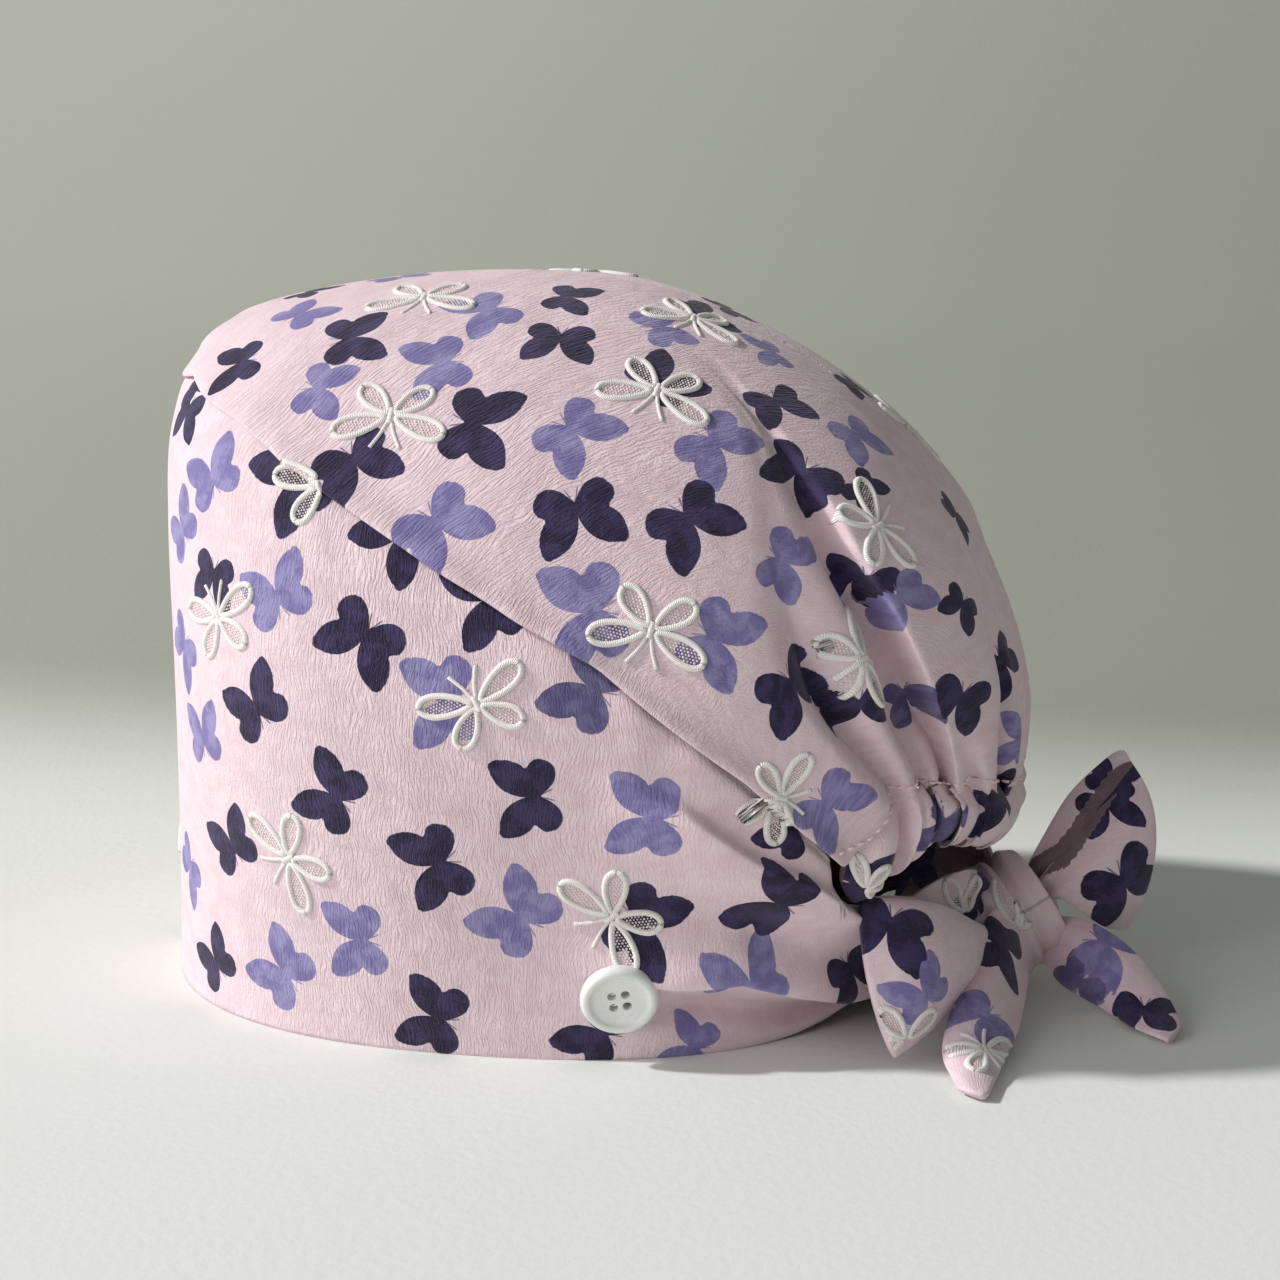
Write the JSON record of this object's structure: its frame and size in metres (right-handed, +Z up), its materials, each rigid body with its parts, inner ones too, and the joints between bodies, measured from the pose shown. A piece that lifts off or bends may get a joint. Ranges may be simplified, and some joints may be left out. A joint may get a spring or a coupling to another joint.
{
  "type": "scrub cap",
  "caption": "Soft cloth scrub cap with a deep band, a gathered crown, an elastic back casing, side buttons and ties knotted in a bow at the back.",
  "frame": {"origin": "middle of the cap's whole length and width, on the plane that its hem rests on", "axes": "+Z up out of the surface it rests on, -Y towards the forehead, +Y towards the ties, +X towards the wearer's left"},
  "size_m": [0.1878, 0.2944, 0.203],
  "materials": {
    "printed_crepe": "matte crinkled cotton crepe, pale pink with a dark violet, lavender and white butterfly scatter",
    "tie_crepe": "the same crepe, folded double",
    "button_shell": "glossy off-white moulded button"
  },
  "bodies": {
    "root": {"front_band": "printed_crepe", "crown_panel": "printed_crepe", "back_casing": "printed_crepe", "bow_knot": "tie_crepe", "tie_left": "tie_crepe", "tie_right": "tie_crepe", "tie_tail_left": "tie_crepe", "tie_tail_right": "tie_crepe", "bow_loop_left": "tie_crepe", "bow_loop_right": "tie_crepe", "button_left": "button_shell", "button_right": "button_shell"}
  },
  "joints": []
}
